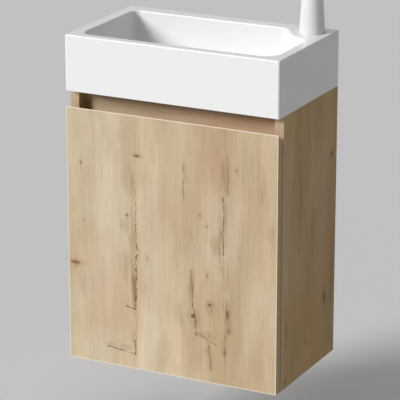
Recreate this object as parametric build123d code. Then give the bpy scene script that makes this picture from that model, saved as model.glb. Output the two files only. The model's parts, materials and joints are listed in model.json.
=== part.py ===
from build123d import *
import math
import os

# Wall-hung vanity unit: a cast basin with a tap on a one-door cabinet with a grip gap.
# Millimetres. X runs to the right seen from the front, +Y into the wall, +Z up.
# The origin is the centre of the four wall-plate holes, on the wall plane.

# Overall sizes
BASIN_WIDTH = 400.0
BASIN_DEPTH = 236.0
BASIN_HEIGHT = 98.0
GRIP_GAP = 27.0
DOOR_HEIGHT = 455.0
CARCASS_INSET = 0.5
BOARD = 16.0
DOOR_THICKNESS = 16.0
DOOR_BEVEL = 45.0
DOOR_REVEAL = 1.0
DOOR_GAP = 2.0
BAND = 1.0
HANGER_DROP = 45.0

# Basin
BASIN_CORNER_R = 4.0
BASIN_REAR_R = 1.5
RIM_ROUNDING = 2.4
FOOT_ROUNDING = 1.2
BOWL_LEFT_RIM = 22.0
BOWL_RIGHT_RIM = 19.5
BOWL_FRONT_RIM = 18.0
BOWL_BACK_RIM = 27.0
BOWL_CORNER_REAR_R = 14.0
BOWL_CORNER_LEFT_R = 20.0
BOWL_CORNER_RIGHT_R = 28.0
LEDGE_BACK_LENGTH = 84.0
LEDGE_SIDE_LENGTH = 86.0
LEDGE_NOSE = (54.0, 71.0)
LEDGE_NOSE_R = 20.0
LEDGE_BLEND_R = 22.0
BOWL_DEPTH = 64.0
BOWL_DRAFT = 6.0
BOWL_FLOOR_R = 6.0
DISH_R = 70.0
DISH_FALL = 5.0
SKIRT = 20.0
SKIRT_CORNER_R = 10.0
UNDERSIDE_RISE = 18.0
DRAIN_BOSS_R = 40.0
DRAIN_BOSS_RISE = 12.0
DRAIN_HOLE_R = 22.0
DRAIN_SEAT_R = 33.0
DRAIN_SEAT_DEPTH = 4.0

# Carcass
GRIP_RECESS = 22.0
GRIP_RAIL_HEIGHT = 70.0
BACK_RAIL_HEIGHT = 60.0
BACK_RAIL_DROP = 81.0
SHELF_TOP_Z = -262.0
SHELF_FRONT_SETBACK = 18.0
SHELF_BACK_GAP = 2.0
SHELF_SIDE_GAP = 0.5
PIN_R = 2.5
PIN_HOLE_DEPTH = 9.0
PIN_REACH = 8.0
PIN_PITCH = 32.0
PIN_INSET = 40.0
PIN_COLLAR_R = 4.0
PIN_COLLAR = 1.5
DOWEL_R = 4.0
DOWEL_IN_SIDE = 10.0
DOWEL_IN_END = 20.0
CAM_R = 7.5
CAM_DEPTH = 12.5
CAM_SETBACK = 34.0
CAM_BOLT_R = 3.5
CAM_BOLT_HOLE_R = 4.0
CAM_THREAD_R = 2.5
CAM_THREAD_DEPTH = 11.0
CONNECTOR_INSET = 45.0
DOWEL_OFFSET = 22.0
BEAD = 3.0

# Hangers and wall plates
HANGER_WIDTH = 12.0
HANGER_DEPTH = 42.0
HANGER_HEIGHT = 56.0
HANGER_WALL_GAP = 8.0
HANGER_TOP_GAP = 3.0
HANGER_EDGE_R = 2.0
HOOK_THICKNESS = 3.0
HOOK_HEIGHT = 8.0
HOOK_TONGUE = 2.6
HOOK_DROP = 10.0
HOOK_CLEARANCE = 0.2
WALL_GAP = 0.9
PLATE_T = 2.0
PLATE_WIDTH = 42.0
PLATE_HEIGHT = 36.0
PLATE_LIP_STEP = 4.0
PLATE_LIP_HEIGHT = 12.0
PLATE_CLEAR_OF_SIDE = 1.5
WALL_HOLE_R = 3.5
PLATE_HOLE_INSET = 10.0
WALL_HOLE_SPACING_Z = 22.0
HANGER_SCREW_R = 2.5
HANGER_SCREW_HEAD_R = 4.5
HANGER_SCREW_HEAD = 2.0
HANGER_SCREW_DEPTH = 10.0

# Waste
FLANGE_R = 32.4
FLANGE_LIP = 3.0
SEAL = 1.0
WASTE_R = 20.9
WASTE_BORE_R = 18.5
WASTE_LENGTH = 60.0
THROAT_R = 27.0
THROAT_DEPTH = 2.2
SPIDER_DEPTH = 22.0
SPIDER_RIB = 3.0
SPIDER_BOSS_R = 6.5
SPIDER_BOSS = 12.0
PLUG_R = 29.0
PLUG_CAP = 5.0
PLUG_SEAT_GAP = 0.3
PLUG_STEM_R = 4.0
PLUG_STEM = 42.0
RUNNING_FIT = 0.06
THREAD_FIT = 0.05
BACKNUT_R = 30.0
BACKNUT = 8.0
LOWER_SEAL = 4.0

# Trap
PIPE_R = 16.0
PIPE_WALL = 1.5
PIPE_FIT = 0.3
OUTLET_Z = -150.0
TRAP_R = 31.0
TRAP_WALL = 3.0
TRAP_HEAD_ABOVE = 25.0
TRAP_HEAD_BELOW = 40.0
TRAP_NECK_R = 21.0
TRAP_NECK = 16.0
TRAP_SOCKET = 24.0
TRAP_NUT_R = 26.0
TRAP_NUT = 18.0
TRAP_NUT_FLANGE = 4.0
TRAP_SEAL = 4.0
TRAP_CUP_HEIGHT = 46.0
TRAP_CUP_COLLAR_R = 35.0
TRAP_CUP_COLLAR = 16.0
UNION_NUT = 24.0
UNION_COLLAR = 3.0
UNION_SEAL = 3.0
TAIL_BELOW_OUTLET = 50.0
SPIGOT_STEP = 0.2
SPIGOT_LENGTH = 35.0
ROSETTE_R = 38.0
ROSETTE_NECK_R = 19.0
ROSETTE_DEPTH = 12.0

# Tap
TAP_FROM_RIGHT = 34.0
TAP_FROM_WALL = 36.0
TAP_HOLE_R = 17.5
TAP_POCKET_R = 24.0
DECK = 16.0
TAP_BASE_R = 22.2
TAP_TOP_R = 15.8
TAP_BODY_HEIGHT = 104.0
SPOUT_REACH = 98.0
# Spout sections: width, height and drop of the middle below the body's top
SPOUT_ROOT = (24.0, 22.0, 20.0)
SPOUT_MIDDLE = (21.0, 16.0, 16.5)
SPOUT_TIP = (20.0, 11.0, 15.0)
SPOUT_WATERWAY_R = 3.5
AERATOR_R = 8.2
AERATOR_SETBACK = 12.0
AERATOR_DEPTH = 7.0
CARTRIDGE_R = 12.5
CARTRIDGE_DROP = 20.0
CARTRIDGE_LENGTH = 40.0
CARTRIDGE_SOCKET = 7.0
DOME_R = 13.9
DOME_WALL = 2.0
DOME_OPENING_R = 9.2
DOME_SKIRT_R = 13.2
DOME_SKIRT = 8.0
CARRIER_R = 8.4
CARRIER_BELOW = 18.0
CARRIER_ABOVE = 4.0
CARRIER_SLOT = 6.6
CARRIER_SLOT_DEPTH = 14.0
STEM_R = 3.0
EYE_R = 3.6
HINGE_PIN_R = 1.5
BELL_GAP = 0.4
BELL_FOOT_R = 15.7
BELL_TOP_R = 14.7
BELL_HEIGHT = 31.0
BELL_FOOT_ANGLE = 26.0
LEVER_REACH = 72.0
INLET_R = 5.0
INLET_DEPTH = 14.0
INLET_SPREAD = 6.0
INLET_FORWARD = 6.0
STUD_R = 4.0
STUD_BACK = 9.0
STUD_IN_BODY = 12.0
STUD_BELOW = 52.0
SHOE_R = 22.0
SHOE = 3.0
SHOE_PAD = 2.0
SHOE_SLOT = 27.0
SHOE_SLOT_CENTRE = 10.0
NUT_R = 7.5
NUT = 8.0

# Levels and faces that follow from the sizes above
CARCASS_TOP = HANGER_DROP
BASIN_TOP = CARCASS_TOP + BASIN_HEIGHT
DOOR_TOP = CARCASS_TOP - GRIP_GAP
DOOR_BOTTOM = DOOR_TOP - DOOR_HEIGHT
CARCASS_BOTTOM = DOOR_BOTTOM
DOOR_FRONT = -BASIN_DEPTH
DOOR_BACK = DOOR_FRONT + DOOR_THICKNESS
CARCASS_FRONT = DOOR_BACK + DOOR_GAP
DOOR_TOP_BACK = DOOR_TOP - DOOR_THICKNESS * math.tan(math.radians(DOOR_BEVEL))
BEVEL_BAND = BAND / math.cos(math.radians(DOOR_BEVEL))
OUTER_X = BASIN_WIDTH / 2 - CARCASS_INSET
INNER_X = OUTER_X - BOARD
DOOR_X = OUTER_X - DOOR_REVEAL
GRIP_FACE = CARCASS_FRONT + GRIP_RECESS
GRIP_BACK = GRIP_FACE + BOARD
GRIP_RAIL_BOTTOM = CARCASS_TOP - GRIP_RAIL_HEIGHT
BOTTOM_TOP = CARCASS_BOTTOM + BOARD
BACK_RAIL_TOP_Z = CARCASS_TOP - BACK_RAIL_DROP
BACK_RAIL_FACE = -BOARD
BOWL_X = (-BASIN_WIDTH / 2 + BOWL_LEFT_RIM, BASIN_WIDTH / 2 - BOWL_RIGHT_RIM)
BOWL_Y = (-BASIN_DEPTH + BOWL_FRONT_RIM, -BOWL_BACK_RIM)
BOWL_FLOOR = BASIN_TOP - BOWL_DEPTH
DRAIN_X = 0.0
DRAIN_Y = (BOWL_Y[0] + BOWL_Y[1]) / 2
DRAIN_Z = BOWL_FLOOR - DISH_FALL
DRAIN_BOSS_Z = CARCASS_TOP + DRAIN_BOSS_RISE
TAP_X = BASIN_WIDTH / 2 - TAP_FROM_RIGHT
TAP_Y = -TAP_FROM_WALL
TAP_TURN = math.degrees(math.atan2(DRAIN_X - TAP_X, TAP_Y - DRAIN_Y))
PIVOT_H = TAP_BODY_HEIGHT
CARTRIDGE_TOP = TAP_BODY_HEIGHT - CARTRIDGE_DROP
CARTRIDGE_BOTTOM = CARTRIDGE_TOP - CARTRIDGE_LENGTH


def block(x, y, z):
    """Box between a low and a high value along each axis."""
    size = (x[1] - x[0], y[1] - y[0], z[1] - z[0])
    centre = ((x[0] + x[1]) / 2, (y[0] + y[1]) / 2, (z[0] + z[1]) / 2)
    return Pos(*centre) * Box(*size)


def rod(radius, start, end):
    """Cylinder from one point to another."""
    run = Vector(*end) - Vector(*start)
    base = Plane(origin=start, z_dir=run)
    return base * Cylinder(radius, run.length, align=(Align.CENTER, Align.CENTER, Align.MIN))


def lathe(profile):
    """Solid turned about the Z axis from (radius, height) points."""
    outline = Polyline(*[(r, 0, z) for r, z in profile], close=True)
    return revolve(make_face(outline), Axis.Z)


def lathe_y(profile, x, z):
    """Solid turned about a line along Y from (radius, y) points."""
    return Pos(x, 0, z) * Rot(-90, 0, 0) * lathe(profile)


def washer(outer, inner, low, high):
    """Flat ring about the Z axis."""
    return lathe([(inner, low), (outer, low), (outer, high), (inner, high)])


def prism_x(points, x):
    """Prism with a (y, z) outline between two values of x."""
    face = make_face(Polyline(*[(x[0], y, z) for y, z in points], close=True))
    return extrude(face, x[1] - x[0], dir=(1, 0, 0))


def both_sides(shape):
    """The shape and its mirror image in the middle plane."""
    return [shape, mirror(shape, Plane.YZ)]


def bowl_outline():
    """Bowl opening at the rim, which leaves the tap ledge in the rear right corner."""
    left, right = BOWL_X
    front, back = BOWL_Y
    side = BASIN_WIDTH / 2
    nose_x = side - LEDGE_NOSE[0]
    corners = [
        (left, back, BOWL_CORNER_REAR_R),
        (left, front, BOWL_CORNER_LEFT_R),
        (right, front, BOWL_CORNER_RIGHT_R),
        (right, -LEDGE_SIDE_LENGTH, LEDGE_BLEND_R),
        (nose_x, -LEDGE_NOSE[1], LEDGE_NOSE_R),
        (side - LEDGE_BACK_LENGTH, back, LEDGE_BLEND_R),
    ]
    points = [(x, y) for x, y, r in corners]
    return make_face(FilletPolyline(*points, radius=[r for x, y, r in corners], close=True))


def bowl_void():
    """Hollow of the bowl: drafted walls, a rounded floor edge and a dish down to the drain."""
    walls = extrude(Pos(0, 0, BASIN_TOP) * bowl_outline(), -BOWL_DEPTH, taper=BOWL_DRAFT)
    walls = fillet(walls.faces().sort_by(Axis.Z)[0].edges(), BOWL_FLOOR_R)
    dish = lathe([(0, BOWL_FLOOR + 1), (DISH_R, BOWL_FLOOR + 1), (DISH_R, BOWL_FLOOR),
                  (DRAIN_SEAT_R, DRAIN_Z), (0, DRAIN_Z)])
    return walls + Pos(DRAIN_X, DRAIN_Y, 0) * dish


def basin_underside():
    """Shallow hollow under the basin, with a boss left round the drain and a tap pocket."""
    hollow = block((-BASIN_WIDTH / 2 + SKIRT, BASIN_WIDTH / 2 - SKIRT),
                   (-BASIN_DEPTH + SKIRT, -SKIRT),
                   (CARCASS_TOP, CARCASS_TOP + UNDERSIDE_RISE))
    hollow = fillet(hollow.edges().filter_by(Axis.Z), SKIRT_CORNER_R)
    boss = rod(DRAIN_BOSS_R, (DRAIN_X, DRAIN_Y, DRAIN_BOSS_Z),
               (DRAIN_X, DRAIN_Y, CARCASS_TOP + UNDERSIDE_RISE))
    pocket = rod(TAP_POCKET_R, (TAP_X, TAP_Y, CARCASS_TOP), (TAP_X, TAP_Y, BASIN_TOP - DECK))
    return hollow - boss + pocket


def washbasin():
    body = block((-BASIN_WIDTH / 2, BASIN_WIDTH / 2), (-BASIN_DEPTH, 0), (CARCASS_TOP, BASIN_TOP))
    upright = body.edges().filter_by(Axis.Z).sort_by(Axis.Y)
    body = fillet(upright[:2], BASIN_CORNER_R)
    body = fillet(body.edges().filter_by(Axis.Z).sort_by(Axis.Y)[-2:], BASIN_REAR_R)
    body = fillet(body.faces().sort_by(Axis.Z)[0].edges(), FOOT_ROUNDING)
    body -= bowl_void()
    body = fillet(body.faces().sort_by(Axis.Z)[-1].edges(), RIM_ROUNDING)
    body -= basin_underside()
    body -= rod(DRAIN_HOLE_R, (DRAIN_X, DRAIN_Y, CARCASS_TOP), (DRAIN_X, DRAIN_Y, BASIN_TOP))
    body -= rod(DRAIN_SEAT_R, (DRAIN_X, DRAIN_Y, DRAIN_Z - DRAIN_SEAT_DEPTH),
                (DRAIN_X, DRAIN_Y, BASIN_TOP))
    body -= rod(TAP_HOLE_R, (TAP_X, TAP_Y, CARCASS_TOP), (TAP_X, TAP_Y, BASIN_TOP))
    return body


def connectors():
    """Cam connectors on one side: (y, z) of the bolt, then which way the housing faces."""
    bottom = CARCASS_BOTTOM + BOARD / 2
    deep = -CONNECTOR_INSET
    shallow = CARCASS_FRONT + CONNECTOR_INSET
    grip = (GRIP_FACE + BOARD / 2, CARCASS_TOP - GRIP_RAIL_HEIGHT / 2, "back")
    rails = [(BACK_RAIL_FACE + BOARD / 2, z + BACK_RAIL_HEIGHT / 2, "front")
             for z in (BACK_RAIL_TOP_Z - BACK_RAIL_HEIGHT, BOTTOM_TOP)]
    return [(deep, bottom, "up"), (shallow, bottom, "up"), grip] + rails


def dowel_spots():
    """(y, z) of each wood dowel on one side, beside its connector."""
    spots = []
    for y, z, faces in connectors():
        if faces == "up":
            inward = 1 if y < CARCASS_FRONT / 2 else -1
            spots.append((y + inward * DOWEL_OFFSET, z))
        else:
            spots.append((y, z - DOWEL_OFFSET))
    return spots


def cam_axis(y, z, faces):
    """Start point and direction of a cam housing, from the face it is let into."""
    x = INNER_X - CAM_SETBACK
    if faces == "up":
        return Vector(x, y, z + BOARD / 2), Vector(0, 0, -1)
    if faces == "back":
        return Vector(x, y + BOARD / 2, z), Vector(0, -1, 0)
    return Vector(x, y - BOARD / 2, z), Vector(0, 1, 0)


def cam_housing(y, z, faces):
    start, way = cam_axis(y, z, faces)
    can = rod(CAM_R, start, start + way * CAM_DEPTH)
    return can - rod(CAM_BOLT_HOLE_R, (INNER_X - CAM_SETBACK, y, z), (INNER_X, y, z))


def cam_bolt(y, z):
    shank = rod(CAM_BOLT_R, (INNER_X - CAM_SETBACK, y, z), (INNER_X, y, z))
    return shank + rod(CAM_THREAD_R, (INNER_X, y, z), (INNER_X + CAM_THREAD_DEPTH, y, z))


def end_bores(rows):
    """Bores in a board's right end for the connectors and dowels in the given rows."""
    cuts = []
    for number in rows:
        y, z, faces = connectors()[number]
        start, way = cam_axis(y, z, faces)
        cuts.append(rod(CAM_R, start, start + way * CAM_DEPTH))
        cuts.append(rod(CAM_BOLT_HOLE_R, (INNER_X - CAM_SETBACK, y, z), (INNER_X, y, z)))
        y, z = dowel_spots()[number]
        cuts.append(rod(DOWEL_R, (INNER_X - DOWEL_IN_END, y, z), (INNER_X, y, z)))
    return cuts


def board_between_sides(y, z, rows):
    """Board or rail that spans the cabinet, bored at both ends."""
    board = block((-INNER_X, INNER_X), y, z)
    for cut in end_bores(rows):
        for one in both_sides(cut):
            board -= one
    return board


def bottom_panel():
    return board_between_sides((CARCASS_FRONT + BAND, 0), (CARCASS_BOTTOM, BOTTOM_TOP), (0, 1))


def grip_rail():
    return board_between_sides((GRIP_FACE, GRIP_BACK), (GRIP_RAIL_BOTTOM, CARCASS_TOP), (2,))


def back_rail_bottom():
    return board_between_sides((BACK_RAIL_FACE, 0), (BOTTOM_TOP, BOTTOM_TOP + BACK_RAIL_HEIGHT), (4,))


def back_rail_top():
    low = BACK_RAIL_TOP_Z - BACK_RAIL_HEIGHT
    return board_between_sides((BACK_RAIL_FACE, 0), (low, BACK_RAIL_TOP_Z), (3,))


def shelf_size():
    """Front and back of the shelf."""
    return CARCASS_FRONT + SHELF_FRONT_SETBACK, BACK_RAIL_FACE - SHELF_BACK_GAP


def pin_holes():
    """(y, z) of the shelf pin holes on one side, three levels in two columns."""
    front, back = shelf_size()
    level = SHELF_TOP_Z - BOARD - PIN_R
    return [(y, level + step * PIN_PITCH)
            for y in (front + PIN_INSET, back - PIN_INSET) for step in (-1, 0, 1)]


def side_panel():
    """Right side panel, bored for everything that both sides carry."""
    side = block((INNER_X, OUTER_X), (CARCASS_FRONT + BAND, 0), (CARCASS_BOTTOM, CARCASS_TOP))
    for y, z, faces in connectors():
        side -= rod(CAM_THREAD_R, (INNER_X, y, z), (INNER_X + CAM_THREAD_DEPTH, y, z))
    for y, z in dowel_spots():
        side -= rod(DOWEL_R, (INNER_X, y, z), (INNER_X + DOWEL_IN_SIDE, y, z))
    for y, z in pin_holes():
        side -= rod(PIN_R, (INNER_X, y, z), (INNER_X + PIN_HOLE_DEPTH, y, z))
    for y, z in hanger_screw_spots():
        side -= rod(HANGER_SCREW_R, (INNER_X, y, z), (INNER_X + HANGER_SCREW_DEPTH, y, z))
    return side


def side_panel_left():
    side = mirror(side_panel(), Plane.YZ)
    for z in HINGE_LEVELS:
        for y, step in plate_screw_spots():
            side -= rod(PLATE_SCREW_R, (-INNER_X, y, z + step),
                        (-INNER_X - PLATE_SCREW_DEPTH, y, z + step))
    return side


def shelf():
    front, back = shelf_size()
    width = INNER_X - SHELF_SIDE_GAP
    board = block((-width, width), (front + BAND, back), (SHELF_TOP_Z - BOARD, SHELF_TOP_Z))
    return board


def shelf_edge_band():
    front = shelf_size()[0]
    width = INNER_X - SHELF_SIDE_GAP
    return block((-width, width), (front, front + BAND), (SHELF_TOP_Z - BOARD, SHELF_TOP_Z))


def shelf_pins():
    """Four pins at the middle level: a peg in the side, a collar and a flat tongue."""
    level = SHELF_TOP_Z - BOARD - PIN_R
    pins = []
    for y, z in pin_holes():
        if abs(z - level) < PIN_R:
            peg = rod(PIN_R, (INNER_X - PIN_COLLAR, y, z), (INNER_X + PIN_REACH, y, z))
            collar = rod(PIN_COLLAR_R, (INNER_X - PIN_COLLAR, y, z), (INNER_X, y, z))
            collar &= block((INNER_X - PIN_COLLAR, INNER_X), (y - PIN_COLLAR_R, y + PIN_COLLAR_R),
                            (z - PIN_COLLAR_R, z + PIN_R))
            tongue = block((INNER_X - PIN_REACH, INNER_X - PIN_COLLAR),
                           (y - PIN_COLLAR_R, y + PIN_COLLAR_R), (z - PIN_R, z + PIN_R))
            pins += both_sides(peg + collar + tongue)
    return pins


def carcass_edge_bands():
    """Bands on the front edges of the sides and the bottom."""
    front = (CARCASS_FRONT, CARCASS_FRONT + BAND)
    side = block((INNER_X, OUTER_X), front, (CARCASS_BOTTOM, CARCASS_TOP))
    return both_sides(side) + [block((-INNER_X, INNER_X), front, (CARCASS_BOTTOM, BOTTOM_TOP))]


def silicone_bead():
    """Bead in the corner between the basin's foot and each side panel."""
    corner = [(INNER_X, CARCASS_TOP), (INNER_X - BEAD, CARCASS_TOP), (INNER_X, CARCASS_TOP - BEAD)]
    start = GRIP_BACK
    end = -HANGER_WALL_GAP - HANGER_DEPTH - BEAD
    face = make_face(Polyline(*[(x, start, z) for x, z in corner], close=True))
    return both_sides(extrude(face, end - start, dir=(0, 1, 0)))


def hanger_box_y():
    """Front and back of a hanger housing."""
    return -HANGER_WALL_GAP - HANGER_DEPTH, -HANGER_WALL_GAP


def hook_levels():
    """Under side and top of the hook's arm, which lies on the wall plate's lip."""
    low = PLATE_HEIGHT / 2 + PLATE_LIP_HEIGHT
    return low, low + HOOK_HEIGHT


def hook_x():
    middle = INNER_X - HANGER_WIDTH / 2
    return middle - HOOK_THICKNESS / 2, middle + HOOK_THICKNESS / 2


def hanger_screw_spots():
    """(y, z) of the two screws that hold a hanger housing to its side panel."""
    front, back = hanger_box_y()
    inset = HANGER_DEPTH / 4
    return [(front + inset, 0), (back - inset, 0)]


def adjusting_screw_spot():
    """(x, z) of the screw that sets a hook's reach, under the hook's arm."""
    return INNER_X - HANGER_WIDTH / 2, hook_levels()[0] - HOOK_HEIGHT


def hanger_housing():
    front, back = hanger_box_y()
    top = CARCASS_TOP - HANGER_TOP_GAP
    box = block((INNER_X - HANGER_WIDTH, INNER_X), (front, back), (top - HANGER_HEIGHT, top))
    inner = [e for e in box.edges() if abs(e.center().X - (INNER_X - HANGER_WIDTH)) < 0.01]
    box = fillet(inner, HANGER_EDGE_R)
    low, high = hook_levels()
    x0, x1 = hook_x()
    slot = (front + HANGER_WIDTH / 2, back)
    box -= block((x0 - HOOK_CLEARANCE, x1 + HOOK_CLEARANCE), slot,
                 (low - HOOK_CLEARANCE, high + HOOK_CLEARANCE))
    for y, z in hanger_screw_spots():
        box -= rod(HANGER_SCREW_R, (INNER_X - HANGER_WIDTH, y, z), (INNER_X, y, z))
    x, z = adjusting_screw_spot()
    return box - rod(HANGER_SCREW_R, (x, front, z), (x, front + HANGER_DEPTH / 2, z))


def hanger_hook():
    """Flat hook: an arm over the wall plate's lip and a tongue down behind it."""
    low, high = hook_levels()
    start = hanger_box_y()[0] + HANGER_WIDTH / 2 + HOOK_CLEARANCE
    tip = -WALL_GAP
    outline = [(start, low), (tip - HOOK_TONGUE, low), (tip - HOOK_TONGUE, low - HOOK_DROP),
               (tip, low - HOOK_DROP), (tip, high - 2), (tip - 2, high), (start, high)]
    return prism_x(outline, hook_x())


def hanger_screws():
    screws = []
    for y, z in hanger_screw_spots():
        face = INNER_X - HANGER_WIDTH
        screw = rod(HANGER_SCREW_R, (face, y, z), (INNER_X + HANGER_SCREW_DEPTH, y, z))
        screw += rod(HANGER_SCREW_HEAD_R, (face - HANGER_SCREW_HEAD, y, z), (face, y, z))
        screws += both_sides(screw)
    x, z = adjusting_screw_spot()
    front = hanger_box_y()[0]
    screw = rod(HANGER_SCREW_R, (x, front, z), (x, front + HANGER_DEPTH / 2, z))
    screw += rod(HANGER_SCREW_HEAD_R, (x, front - HANGER_SCREW_HEAD, z), (x, front, z))
    return screws + both_sides(screw)


def wall_plate():
    """Bent plate screwed to the wall, with a lip that stands off it for the hook."""
    outer = INNER_X - PLATE_CLEAR_OF_SIDE
    half = PLATE_HEIGHT / 2
    lip = half + PLATE_LIP_HEIGHT
    outline = [(0, -half), (0, half), (-PLATE_LIP_STEP, half + PLATE_T), (-PLATE_LIP_STEP, lip),
               (-PLATE_LIP_STEP - PLATE_T, lip), (-PLATE_LIP_STEP - PLATE_T, half + PLATE_T),
               (-PLATE_T, half), (-PLATE_T, -half)]
    plate = prism_x(outline, (outer - PLATE_WIDTH, outer))
    for z in (-WALL_HOLE_SPACING_Z / 2, WALL_HOLE_SPACING_Z / 2):
        x = outer - PLATE_WIDTH + PLATE_HOLE_INSET
        plate -= rod(WALL_HOLE_R, (x, -PLATE_T, z), (x, 0, z))
    return plate


# Concealed hinge. The plan is measured from the carcass outer left face and its front edge.
DOOR_OPENS = 95.0
ARM_PIVOT = (42.26, 14.37)
ARM_NOSE_PIVOT = (33.46, -9.79)
CUP_PIVOT = (11.47, -3.67)
CUP_SECOND_PIVOT = (16.87, -5.78)
OUTER_KNEE = (32.47, 1.0)
OUTER_LINK_TURN = -0.26
INNER_LINK_TURN = -0.57
HINGE_INSET = 85.0
HINGE_LEVELS = (DOOR_TOP - HINGE_INSET, DOOR_BOTTOM + HINGE_INSET)
LINK_PIN_R = 1.5
LINK_HALF_WIDTH = 1.8
LINK_EYE_R = 2.3
LINK_T = 1.2
LINK_GAP = 0.3
INNER_LINK_HALF = 2.6
OPEN_PIVOT_CLEARANCE = 2.5
ARM_HALF_WIDTH = 2.4
ARM_X = (18.0, 30.0)
ARM_Y = (30.0, 68.0)
ARM_WEB = 1.4
PLATE_BASE = 2.0
PLATE_WING_HALF = 22.0
PLATE_LENGTH = 14.0
PLATE_LINE = 37.0
PLATE_SCREW_STEP = 16.0
PLATE_SCREW_R = 2.5
PLATE_SCREW_HEAD_R = 4.5
PLATE_SCREW_HEAD = 2.0
PLATE_SCREW_DEPTH = 11.0
RIDGE_GAP = 0.3
CLAMP_SCREW_R = 2.0
CLAMP_SCREW_HEAD_R = 3.2
CLAMP_SCREW_Y = 56.0
CUP_R = 17.5
CUP_EDGE = 22.5
CUP_DEPTH = 12.0
CUP_WALL = 0.8
CUP_NOTCH = (3.0, 6.2)
CUP_FLOOR = 1.0
CUP_FLANGE = 1.0
CUP_FLANGE_SIZE = (28.0, 56.0)
CUP_FLANGE_X = 18.0
CUP_SCREW_OFFSET = 9.5
CUP_SCREW_STEP = 22.5
CUP_SCREW_R = 2.0
CUP_SCREW_HEAD_R = 3.5
CUP_SCREW_HEAD = 1.0
CUP_SCREW_DEPTH = 10.0
BUMPER_R = 4.0
BUMPER = 1.7
BUMPER_INSET = 24.0


def plan(point, z=0.0):
    """Place in the part's frame of a point of the hinge plan."""
    return (-OUTER_X + point[0], CARCASS_FRONT + point[1], z)


def plan_strip(points, half_width, z):
    """Flat bar of even width along a chain of plan points, with round ends and knees."""
    shape = None
    for a, b in zip(points, points[1:]):
        start, end = Vector(*plan(a, z[0])), Vector(*plan(b, z[0]))
        run = end - start
        across = Vector(-run.Y, run.X, 0).normalized() * half_width
        corners = [start + across, end + across, end - across, start - across]
        bar = extrude(make_face(Polyline(*corners, close=True)), z[1] - z[0], dir=(0, 0, 1))
        shape = bar if shape is None else shape + bar
    for point in points:
        shape += rod(half_width, plan(point, z[0]), plan(point, z[1]))
    return shape


def layers(low, high):
    """The same layer above and below the hinge's middle plane."""
    return [(low, high), (-high, -low)]


ARM_LAYER = (INNER_LINK_HALF + LINK_GAP, INNER_LINK_HALF + LINK_GAP + LINK_T)
OUTER_LAYER = (ARM_LAYER[1] + LINK_GAP, ARM_LAYER[1] + LINK_GAP + LINK_T)
LUG_LAYER = ARM_LAYER


def cheek(z):
    """One cheek of the hinge arm: the channel by the side panel and the nose into the cup."""
    channel = block((-OUTER_X + ARM_X[0], -OUTER_X + ARM_X[1]),
                    (CARCASS_FRONT + ARM_Y[0], CARCASS_FRONT + ARM_Y[1]), z)
    neck_x = ARM_X[1] - ARM_HALF_WIDTH
    neck = plan_strip([(neck_x, ARM_Y[0] + ARM_HALF_WIDTH), ARM_PIVOT, ARM_NOSE_PIVOT],
                      ARM_HALF_WIDTH, z)
    return channel + neck


def hinge_arm():
    over, under = layers(*ARM_LAYER)
    arm = cheek(over) + cheek(under)
    arm += block((-OUTER_X + ARM_X[1] - ARM_WEB, -OUTER_X + ARM_X[1]),
                 (CARCASS_FRONT + ARM_Y[0], CARCASS_FRONT + ARM_Y[1]),
                 (-ARM_LAYER[1], ARM_LAYER[1]))
    for pivot in (ARM_PIVOT, ARM_NOSE_PIVOT):
        arm -= rod(LINK_PIN_R + RUNNING_FIT, plan(pivot, -ARM_LAYER[1]), plan(pivot, ARM_LAYER[1]))
    arm -= rod(CLAMP_SCREW_R, plan((ARM_X[0], CLAMP_SCREW_Y)), plan((ARM_X[1], CLAMP_SCREW_Y)))
    return arm


def hinge_outer_link():
    """Goose-neck link riveted from two cheeks and its two pins."""
    link = None
    for z in layers(*OUTER_LAYER):
        bar = plan_strip([ARM_PIVOT, OUTER_KNEE, CUP_PIVOT], LINK_HALF_WIDTH, z)
        for end in (ARM_PIVOT, CUP_PIVOT):
            bar += rod(LINK_EYE_R, plan(end, z[0]), plan(end, z[1]))
        link = bar if link is None else link + bar
    for end in (ARM_PIVOT, CUP_PIVOT):
        link += rod(LINK_PIN_R, plan(end, -OUTER_LAYER[1]), plan(end, OUTER_LAYER[1]))
    return link


def hinge_inner_link():
    """Short link on the arm's nose, which ends clear of the cup's second pin."""
    nose, cup = Vector(*ARM_NOSE_PIVOT), Vector(*CUP_SECOND_PIVOT)
    run = cup - nose
    reach = run.length - LINK_PIN_R - LINK_HALF_WIDTH - OPEN_PIVOT_CLEARANCE
    end = nose + run.normalized() * reach
    z = (-INNER_LINK_HALF, INNER_LINK_HALF)
    link = plan_strip([ARM_NOSE_PIVOT, (end.X, end.Y)], LINK_HALF_WIDTH, z)
    link += rod(LINK_EYE_R, plan(ARM_NOSE_PIVOT, z[0]), plan(ARM_NOSE_PIVOT, z[1]))
    return link + rod(LINK_PIN_R, plan(ARM_NOSE_PIVOT, -ARM_LAYER[1]),
                      plan(ARM_NOSE_PIVOT, ARM_LAYER[1]))


def plate_screw_spots():
    """(y, height above the hinge's middle) of the mounting plate's two screws."""
    y = CARCASS_FRONT + PLATE_LINE
    return [(y, -PLATE_SCREW_STEP), (y, PLATE_SCREW_STEP)]


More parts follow.
